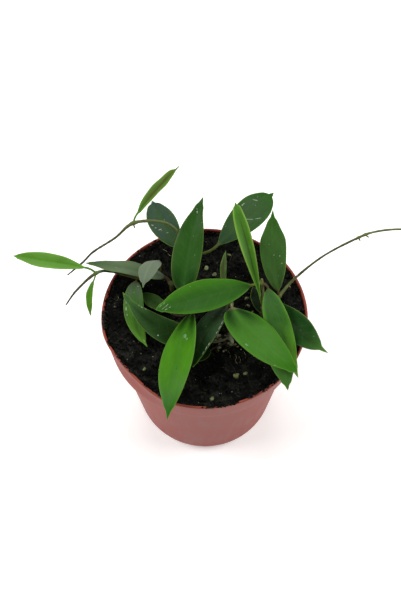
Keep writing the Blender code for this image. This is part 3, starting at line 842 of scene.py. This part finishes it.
def add_leaf(name, seat, materials, slot, index, tones, length, width, stalk, heading, climb,
             bend=0, roll=0, fold=7, widest=0.46, taper=0.7, drip=0.08, pinch=0.0,
             rib=0.3, lit=0.0, base_to=0.04, tip_from=0.6, specks=0.02):
    """One leaf with its stalk.

    heading and climb read from the stem out: at the stalk's start, at the blade's base and, for climb,
    at the tip. bend turns the heading along the blade, roll lifts its left side, fold raises both halves.
    widest is the place of the greatest width along the blade, and taper how soon it narrows from there.
    drip is the share of the blade that its narrow drip tip takes, and pinch hollows the sides before it.
    rib is the width of the toned stripe in the fold, and specks the share of chalky spots. lit is how
    far one half takes the rim's tone as a painted sheen, the left half above zero and the right half below.
    base_to is where the base's tone starts to fade, and tip_from where the tip's starts to show.
    """
    rows = STALK_ROWS + BLADE_ROWS
    headings = [(0, heading[0]), (stalk, heading[1]), (stalk + length, heading[1] + bend)]
    climbs = [(0, climb[0]), (stalk, climb[1]), (stalk + length, climb[2])]
    half_columns = LEAF_COLUMNS // 2
    crease_round = 0.35 if fold < 12 else 0.08
    stalk_radius = STALK_RADIUS * min(1.1, max(0.6, (width / 16) ** 0.5))

    def direction(distance):
        turn = radians(between(distance, headings))
        rise = radians(between(distance, climbs))
        ahead = Vector((cos(rise) * cos(turn), cos(rise) * sin(turn), sin(rise)))
        return ahead, Vector((-sin(turn), cos(turn), 0))

    def row_distance(row):
        if row <= STALK_ROWS:
            return STALK_START + (stalk - STALK_START) * row / STALK_ROWS
        share = (row - STALK_ROWS) / BLADE_ROWS
        eased = (1 - cos(pi * share)) / 2
        return stalk + length * (share + eased) / 2

    stations = []
    place, reached = seat.copy(), 0
    for row in range(rows + 1):
        distance = row_distance(row)
        for k in range(4):
            step = (distance - reached) / 4
            place = place + direction(reached + (k + 0.5) * step)[0] * step
        reached = distance
        ahead, left = direction(distance)
        up = ahead.cross(left)
        share = (distance - stalk) / length
        tilt = radians(roll)
        left, up = left * cos(tilt) + up * sin(tilt), up * cos(tilt) - left * sin(tilt)
        stations.append((place.copy(), left, up, share))

    def surface(share, across, top, station):
        """A point of the skin: across runs from -1 at the right margin to 1 at the left."""
        middle, left, up, _ = station
        blade = width / 2 * blade_width(share, widest, taper, drip, pinch)
        half = max(blade, stalk_radius * (share < 0.5))
        if share >= 1:
            return middle, 0
        crease = radians(fold) * smooth(share / 0.15) * smooth((1 - share) / 0.15)
        wave = MARGIN_WAVE * smooth(share / 0.3) * sin(2 * pi * WAVES_PER_LEAF * share + length)
        waving = 2 * pi * RIPPLES_PER_LEAF * share + length * (1 if across > 0 else 1.7)
        wave += RIPPLE * sin(waving) * smooth(share / 0.2) * abs(across)
        wave *= 2 * blade / width
        lift = (hypot(across, crease_round) - crease_round) * half * sin(crease) + across * across * wave
        thick = BLADE_HALF + (stalk_radius - BLADE_HALF) * smooth(1 - share / 0.12)
        thick *= 1 - 0.35 * smooth((share - 0.8) / 0.2)
        level = thick * sqrt(max(0, 1 - across * across))
        from_rib = across * half
        if top:
            groove = 0.05 * exp(-((from_rib / 0.55) ** 2)) * smooth(share / 0.1)
            level -= groove * smooth((0.97 - share) / 0.3)
        else:
            level += 0.45 * exp(-((from_rib / 0.7) ** 2)) * smooth(share / 0.05) * (1 - share)
            level = -level
        return middle + left * (from_rib * cos(crease)) + up * (lift + level), half

    bm, spot, painted = new_skin()

    def put(vert, row, column):
        station = stations[row]
        share = station[3]
        top = column <= half_columns
        along = 2 * column / half_columns - 1 if top else 3 - 2 * column / half_columns
        across = along - COLUMN_CROWDING * sin(2 * pi * along)
        vert.co, half = surface(share, across, top, station)
        inward = half * (1 - abs(across)) if share > 0 else 5
        vert[spot] = (across * half, share * length + LEAF_PITCH * index, inward)
        vert[painted] = (*leaf_tone(share, across, tones, rib, lit, base_to, tip_from)[:3], specks)

    sleeve(bm, rows, LEAF_COLUMNS, put)
    finish_piece(bm, name + "_blade", materials, slot, [name])

    def on_top(share, across, aside, ahead):
        """The point of the upper skin some millimetres to the left of and ahead of a place on it."""
        share = min(max(share + ahead / length, 0.001), 0.99)
        row = STALK_ROWS
        while stations[row + 1][3] < share:
            row += 1
        low, high = stations[row], stations[row + 1]
        part = (share - low[3]) / (high[3] - low[3])
        station = [low[k].lerp(high[k], part) for k in range(3)] + [share]
        half = surface(share, 0, True, station)[1]
        return surface(share, min(max(across + aside / half, -0.98), 0.98), True, station)[0]

    return on_top


def add_leaves():
    """Every leaf by name, on its own node, most of them in pairs that face each other."""
    finishes = {}
    for kind, roughness, gloss, contrast in (
        ("bright", 0.33, 0.08, 0.12), ("mid", 0.33, 0.12, 0.16),
        ("dark", 0.34, 0.08, 0.2), ("grey", 0.42, 0.2, 0.14),
    ):
        finishes[kind] = [
            leaf_material("leaf_cuticle_" + kind, False, roughness, gloss, contrast),
            leaf_material("leaf_underside_" + kind, True, roughness + 0.14, gloss, contrast),
        ]
    tops = {}

    def leaf(name, seat, kind, greens, *sizes, **shape):
        """greens names the six tones from base to stalk. sizes are add_leaf's, from length on."""
        tones = dict(zip(("base", "body", "tip", "rib", "rim", "stalk"), map(tone, greens.split())))
        node_name, slot = "leaf_" + name, "leaf_" + kind
        tops[name] = add_leaf(node_name, seat, finishes[kind], slot, len(tops), tones, *sizes, **shape)

    # Front stem
    leaf("low_left", FRONT_LOW, "dark", "shade deep sorrel deep pine lichen", 62.3, 15.2, 11,
         (221.5, 179.5), (2, 1, 19.5), bend=-56, roll=-8, widest=0.4, taper=1.1, drip=0.07, specks=0.06,
         tip_from=0.4)
    # dark all over: painted shade, for the shadow of front_shaded above it
    leaf("soil_front", FRONT_FOOT_NODE, "dark", "shade shade shade shade shade umber", 14.5, 9, 13,
         (203.5, 208), (1.7, -1, 0), widest=0.5, drip=0.06, bend=-7.5, taper=0.6)
    leaf("front_shaded", FRONT_TOP, "dark", "mist heath tarn shade pine reed", 45, 15.3, 2.6,
         (-163, -133.5), (14, 3, -5), bend=32, roll=17, widest=0.45, taper=0.68, drip=0.06, specks=0.1,
         tip_from=0.3)
    # its dark base is painted shadow, cast by front_shaded, which lies over it
    leaf("right_front", FRONT_TOP, "bright", "night cress mint cress fresh straw", 61, 24, 5.5,
         (-106, -69.5), (29, 27, -2), bend=28.5, roll=-13, widest=0.43, drip=0.05, fold=5, base_to=0.1)
    leaf("young_tip", FRONT_TIP, "grey", "sage moor moor twig olive twig", 21.5, 4, 2.5, (107, 98),
         (54, 43, 42), bend=-25, roll=-7, drip=0.09, fold=16)

    # Right stem
    # near black all over: painted deep shade, for the shadow of the leaves above it
    leaf("shaded_right", RIGHT_FOOT_NODE, "dark", "pitch pitch pitch pitch pitch umber", 18, 7.8, 3,
         (158, 96), (25, 8, 3), bend=14, widest=0.5, roll=2)
    leaf("folded_upright", RIGHT_LOW, "bright", "sprout sprout sprout bronze pear reed", 60, 10.3, 6.2,
         (154, 110), (65.5, 57, 10), bend=-5.5, roll=-20, widest=0.66, taper=0.56, drip=0.05, fold=38,
         rib=0.07)
    leaf("right_under", RIGHT_LOW, "mid", "moss thyme thyme thyme thyme reed", 49.5, 16.5, 4.5, (-72, -74),
         (13, 3, -4), bend=-10, roll=-2, drip=0.09)
    # its right half, the upper one, is lighter as a painted sheen
    leaf("centre_level", RIGHT_TOP, "bright", "moss moss moss moss fresh reed", 58.5, 20, 6.5, (204, 198),
         (20, 10, -1), lit=-1, roll=-7, widest=0.51, taper=0.8, drip=0.05, fold=6)
    leaf("right_middle", RIGHT_TOP, "mid", "moss moss spring moss grass twig", 57, 14.5, 6, (-23, -82.5),
         (23, 4, -16), bend=14.5, roll=7, widest=0.43, taper=0.8, drip=0.1, tip_from=0.35)

    # Centre stem
    # its dark greens are partly painted shade, for the shadow of the leaves above it
    leaf("soil_left", CENTRE_FOOT_NODE, "mid", "bottle olive bottle pine olive umber", 23.6, 9.7, 15,
         (240, 144), (-5, 1, -1), bend=-4, roll=5, widest=0.58)
    leaf("tall_centre", CENTRE_LOW, "mid", "ivy moss moss moss olive twig", 56.5, 17.6, 9, (207, 86.5),
         (38.5, 30.5, 34.5), bend=-23.5, roll=-4.5, widest=0.37, drip=0.1, taper=0.66, specks=0.03,
         pinch=0.2)
    leaf("front", CENTRE_LOW, "bright", "night lime clover fresh grass reed", 70.5, 19.4, 8.3, (-60, -108),
         (29, 18, -23), bend=11, roll=19, widest=0.52, taper=0.8, drip=0.1, fold=6, base_to=0.1)
    # its grey green is partly painted sheen, the light behind reflected
    leaf("back_left", CENTRE_TOP, "dark", "pine slate slate pine pine reed", 42, 17, 6.5, (170, 122.5),
         (7, 2, -14), bend=-17.5, roll=-5, widest=0.5, drip=0.1, specks=0.12, taper=0.6)
    # its grey green is partly painted sheen, the light behind reflected
    leaf("back_right", CENTRE_TOP, "dark", "slate fir moss fir moss reed", 52, 19, 18.7, (-19, 44.5),
         (-2, 12.5, -12), bend=5, roll=16.5, widest=0.56, specks=0.1, taper=0.6, drip=0.1)
    leaf("whip_upper", CENTRE_WHIP, "bright", "grass loden loden bronze yolk spring", 36, 7.8, 6.2,
         (73, 37.5), (52, 37, 21), bend=3, roll=-10, widest=0.5, drip=0.14, fold=24, taper=0.5, rib=0.25)

    # Left stem
    # its grey greens are partly painted sheen, from the lamp behind
    leaf("left_long", LEFT_LOW, "grey", "pewter heather olive sage sage twig", 47.5, 14, 5.5, (114, 172.5),
         (60, 17.5, 3), bend=2, roll=24, widest=0.39, drip=0.06, specks=0.04)
    leaf("left_curled", LEFT_SIDE, "grey", "mist mist slate mist mist twig", 30.5, 11.4, 11.7, (91, 52.5),
         (31, 116, 201), bend=31, roll=11, widest=0.52, drip=0.14, fold=5, specks=0.12)
    # its grey base is partly painted sheen, the light behind reflected
    leaf("left_drooping", LEFT_TOP, "mid", "silver aloe spring aloe aloe twig", 44, 12.1, 2.4, (-134, -104),
         (7.5, -9.5, -2.5), bend=47, roll=1, widest=0.39, drip=0.12, taper=0.68, specks=0.1, tip_from=0.25)
    leaf("far_left", LEFT_WHIP, "bright", "meadow meadow spring spring yolk spring", 42.5, 10.5, 7,
         (139, 176.5), (29, 13, 4), bend=-6.5, roll=-5.5, widest=0.53, drip=0.07, fold=20)
    leaf("hanging_small", LEFT_WHIP, "bright", "grass spring spring spring spring spring", 22.8, 4.3, 4.4,
         (-101, -119), (-22.5, -30, -67), bend=40, roll=10.5, taper=0.83, drip=0.07, fold=12, widest=0.44)

    # Right whip
    leaf("right_upright", WHIP_NODE, "mid", "olive aloe fern aloe aloe twig", 50, 15.7, 3.3, (119, 107.5),
         (65, 53, 51), bend=-20.5, roll=3, widest=0.53, taper=0.5, drip=0.13, specks=0.05, pinch=0.45)
    leaf("right_low", WHIP_NODE, "dark", "ivy ivy aloe deep pine reed", 47.7, 16, 5.5, (-100, -80),
         (26, 22, 0), bend=43, roll=17, widest=0.51, taper=0.8, drip=0.15, specks=0.04)
    return tops


def add_marks(tops, name, marks, material):
    """Thin irregular patches that follow the upper skin of the leaves."""
    bm = bmesh.new()
    rows = [(tops[leaf_name], *row) for leaf_name, patches in marks.items() for row in patches]
    for on_top, share, across, long, wide, turn in rows:
        middle, turn = on_top(share, across, 0, 0), radians(turn)
        ahead, left = on_top(share, across, 0, 0.3) - middle, on_top(share, across, 0.3, 0) - middle
        normal = ahead.cross(left).normalized()
        for vert in bmesh.ops.create_icosphere(bm, subdivisions=2, radius=1)["verts"]:
            ragged = 1 + 0.5 * noise.noise(vert.co * 1.3 + middle)
            long_way, wide_way = vert.co.x * long / 2 * ragged, vert.co.y * wide / 2 * ragged
            to_left = long_way * cos(turn) - wide_way * sin(turn)
            to_tip = long_way * sin(turn) + wide_way * cos(turn)
            vert.co = on_top(share, across, to_left, to_tip) + normal * (0.02 + 0.05 * vert.co.z)
    finish_piece(bm, name, [material], "leaf_dark")


# What lies where on the soil and leaves

# (x, y, width, length against width, turn)
SEED_GRAINS = [
    (17.5, -38.7, 2.9, 1.5, 18), (22.7, -37.3, 2.1, 1.5, 30), (3.3, -53.9, 2.3, 1.4, 50),
    (25.9, 7.6, 2.4, 1.2, 0), (25.2, 12.4, 2.1, 1.2, 40), (1.8, 34.7, 2.4, 1.5, 75),
    (6.5, 30, 2.4, 1.4, 60), (15.7, 43.1, 2.0, 1.3, -20), (-36.5, -36.7, 1.8, 1.9, 55),
    (28.5, 3.5, 1.7, 1.3, 80), (-13, -33, 1.5, 1.3, 10), (43, -15, 1.6, 1.3, 35),
]
# (x, y, width)
PALE_CHIPS = [
    (20.7, -21.6, 1.5), (22.6, -24.2, 1.3), (28, -25.6, 0.8), (-5.7, -40.3, 0.8), (-0.3, -38.8, 0.9),
    (2.2, -38.5, 0.7), (-32, 49, 0.9), (-38.6, 40.5, 0.9), (1.7, 51.2, 0.8), (-52.7, 6.5, 1.0),
    (-37.5, -23.6, 0.9), (-30, -25.3, 0.8),
]
# (x, y, width, tone) of the old root ends and bark bits in the knot at the front stem
# the palest tones here are painted light: the knot lies in the leaves' shade, and these crumbs are painted
# brighter than their own colour
ROOT_CRUMBS = [
    (5.3, -15.5, 2.4, "bark"), (6.6, -16.4, 2.8, "crust_painted_light"), (7.2, -14.6, 2.4, "beige"),
    (8.2, -12.9, 2.4, "crust_painted_light"), (8.9, -16.2, 2.8, "crust_painted_light"), (8.6, -18.6, 2.6, "lichen_painted_light"),
    (8.0, -20.6, 2.5, "lichen_painted_light"), (7.6, -22.2, 2.0, "reed"), (6.9, -18.8, 2.1, "umber"),
    (4.6, -18.1, 1.8, "umber"), (10.5, -15.2, 2.0, "bark"), (11.6, -17.6, 1.9, "bark"),
    (13.8, -13.2, 2.4, "crust_painted_light"), (12.9, -14.9, 2.6, "crust_painted_light"), (13.6, -17.9, 2.6, "lichen_painted_light"),
    (15.2, -18.7, 2.4, "lichen_painted_light"), (17.2, -18.3, 2.0, "beige"), (10.0, -13.3, 1.7, "bark"),
    (10.6, -22.7, 1.5, "chalk"), (11.9, -22.2, 1.2, "straw"), (12.4, -19.6, 1.8, "umber"),
    (3.5, -16.5, 1.5, "twig"), (12, -12.4, 1.6, "straw"), (7.2, -11.6, 1.8, "beige"),
    (18.8, -19.8, 1.4, "beige"),
]
# (first heading, last heading, crumbs, least and greatest radius) of the soil banked at the lip and on it
LIP_HEAPS = [
    (20, 160, 420, 56.4, 58.4), (160, 247, 130, 56.4, 58.2), (268, 380, 150, 56.4, 58.2),
    (179, 189, 90, 57.8, 59.6), (196, 246, 60, 57.6, 59.2), (212, 222, 16, 58, 60.2),
    (246, 253, 30, 58, 59.4), (269, 286, 120, 57.5, 60.4), (292, 301, 30, 58, 59.4),
    (302, 306, 26, 58, 60.6), (308, 316, 40, 57.6, 60), (0, 245, 40, 58, 59.4), (-90, 0, 14, 58, 59.4),
]
HAIR_ROOTS = [
    [(16.6, -24), (18, -26), (17.2, -28.5), (18.7, -31)], [(19, -25), (20.2, -27.5), (19.5, -30)],
    [(-25.3, 46.4), (-22.5, 45.5), (-21, 43.5), (-19.2, 42.8)], [(-52.5, 10.5), (-50.5, 12), (-51.5, 14)],
    [(13, -22), (14.5, -24.5), (14, -27)], [(22, -22.5), (23.5, -25), (23, -27)],
]
# by leaf: (share along, across, length, width, turn from the blade's left)
# pale patches: partly dried hard-water marks, partly painted glints, above all the streaks along the margins
WATER_MARKS_AND_GLINTS = {
    "tall_centre": [(0.83, 0.05, 1.7, 0.7, 60), (0.86, 0.3, 0.9, 0.4, 70)],
    "back_left": [
        (0.52, 0.75, 1.6, 0.5, 40), (0.455, 0.64, 1.3, 0.5, 20), (0.4, 0.42, 2.3, 0.4, 0),
        (0.61, 0.8, 0.9, 0.5, 60), (0.3, 0.1, 1.4, 0.3, 10),
    ],
    "back_right": [
        (0.563, 0.72, 2.7, 0.6, 90), (0.723, 0.46, 3.0, 0.55, 135), (0.49, -0.25, 4.2, 0.3, 135),
        (0.57, -0.58, 4.2, 0.3, 125),
    ],
    "right_upright": [
        (0.46, -0.02, 0.7, 0.6, 0), (0.44, -0.46, 0.8, 0.7, 0), (0.345, -0.62, 0.8, 0.6, 40),
        (0.6, 0.3, 0.5, 0.4, 0),
    ],
    "centre_level": [
        (0.94, -0.45, 2.0, 0.28, 60), (0.92, 0.2, 2.4, 0.28, 60), (0.88, -0.1, 2.4, 0.26, 60),
        (0.9, 0.5, 1.8, 0.26, 60), (0.9, -0.6, 1.6, 0.24, 60), (0.86, 0.25, 1.4, 0.24, 60),
    ],
    "front_shaded": [
        (0.28, 0.86, 3.6, 0.42, 95), (0.37, 0.88, 3.4, 0.5, 92), (0.45, 0.88, 2.6, 0.36, 90),
        (0.66, 0.86, 2.6, 0.5, 86), (0.72, 0.84, 2.8, 0.45, 85), (0.79, 0.84, 2.2, 0.36, 84),
        (0.17, 0.4, 1.6, 0.3, 95),
    ],
    "low_left": [
        (0.77, -0.84, 1.6, 0.4, 90), (0.73, -0.88, 1.2, 0.4, 90), (0.8, -0.85, 1.1, 0.35, 90),
        (0.49, 0.62, 0.9, 0.8, 0),
    ],
    "left_drooping": [
        (0.4, -0.74, 2.3, 0.75, 90), (0.486, -0.72, 1.4, 0.6, 80), (0.32, -0.72, 1.3, 0.5, 95),
        (0.075, 0.5, 1.0, 0.6, 0), (0.9, 0.15, 1.5, 0.4, 90),
    ],
    "left_long": [(0.62, 0.2, 1.3, 0.3, 90)],
}
# soft pale-green patches: painted glints over a faint film of dried water
FAINT_FILM_AND_GLINTS = {
    "front": [(0.3, 0.14, 3.2, 2.0, 70), (0.33, 0.34, 1.8, 1.2, 110)],
    "right_front": [(0.52, -0.75, 2.4, 1.1, 90)],
}
SCARS = {
    "front": [(0.59, 0.11, 0.9, 0.7, 20)],
    "right_middle": [(0.24, -0.55, 1.3, 0.5, 60), (0.226, 0.36, 1.4, 0.6, 30)],
    "right_low": [(0.56, 0.07, 0.9, 0.8, 0)],
    "right_front": [(0.42, 0.35, 0.5, 0.4, 0)],
    "right_under": [(0.7, 0.3, 0.6, 0.5, 0)],
}


# Studio


def add_camera():
    """The photograph's view: a pinhole whose focal length is 900 px in a frame 601 px high."""
    image_height, focal_pixels, sensor = 601, 900, 36
    place = Vector((-2.206, -258.958, 563.001)) * MM
    pitch, tilt = 1.04130704, -0.015442875
    data = bpy.data.cameras.new("camera")
    data.sensor_fit = "VERTICAL"
    data.sensor_height = sensor
    data.lens = focal_pixels * sensor / image_height
    data.clip_start = 0.01
    camera = placed("camera", data)
    ahead = Vector((0, cos(pitch), -sin(pitch)))
    up = Vector((0, sin(pitch), cos(pitch)))
    right = Vector((1, 0, 0))
    right, up = right * cos(tilt) + up * sin(tilt), up * cos(tilt) - right * sin(tilt)
    camera.matrix_world = Matrix.Translation(place) @ Matrix((right, up, -ahead)).transposed().to_4x4()
    bpy.context.scene.camera = camera


# (lamp, place in metres, diameter in metres, watts)
LAMPS = [
    ("left_lamp", (-1.1, 0.0, 1.0), 0.9, 13),
    ("right_lamp", (1.1, 0.0, 1.0), 0.9, 12),
    ("back_lamp", (-0.1, 0.95, 1.1), 0.9, 7),
]


def add_studio():
    """Plain paper floor, dim white surroundings, and round soft lamps at the left, the right and the back."""
    bm = bmesh.new()
    bmesh.ops.create_grid(bm, x_segments=1, y_segments=1, size=2500)
    floor = placed_mesh("floor", bm)
    floor.data.materials.append(floor_material())
    world = bpy.data.worlds.new("studio_white")
    world.use_nodes = True
    light = world.node_tree.nodes["Background"].inputs
    light["Color"].default_value, light["Strength"].default_value = (1, 1, 1, 1), 0.25
    bpy.context.scene.world = world
    for name, place, size, watts in LAMPS:
        data = bpy.data.lights.new(name, "AREA")
        data.shape = "DISK"
        data.size = size
        data.energy = watts
        lamp = placed(name, data)
        lamp.location = place
        lamp.rotation_euler = (Vector((0, 0, 0.1)) - lamp.location).to_track_quat("-Z", "Y").to_euler()
    bpy.context.scene.view_settings.view_transform = "Standard"


def main():
    peat = soil_material()
    root_skin = stem_material()
    add_camera()
    add_studio()
    add_pot()
    add_soil(peat)
    add_crumbs(peat)
    add_loose_pieces()
    add_fibres(root_skin)
    add_stems()
    tops = add_leaves()
    # pale patches on the leaves: partly dried water marks, partly painted glints
    chalk = mineral_material("water_marks_and_glints", "76876E", "B4C2AC", 0.0009, 0.8)
    add_marks(tops, "water_marks_and_glints", WATER_MARKS_AND_GLINTS, chalk)
    # painted glints over a faint film of dried water
    film = mineral_material("water_film_and_glint", "447A26", "6C9168", 0.0011, 0.6)
    add_marks(tops, "faint_film_and_glints", FAINT_FILM_AND_GLINTS, film)
    add_marks(tops, "leaf_scars", SCARS, mineral_material("leaf_scar_cork", "2E2A16", "4C4527", 0.0009, 0.7))


main()
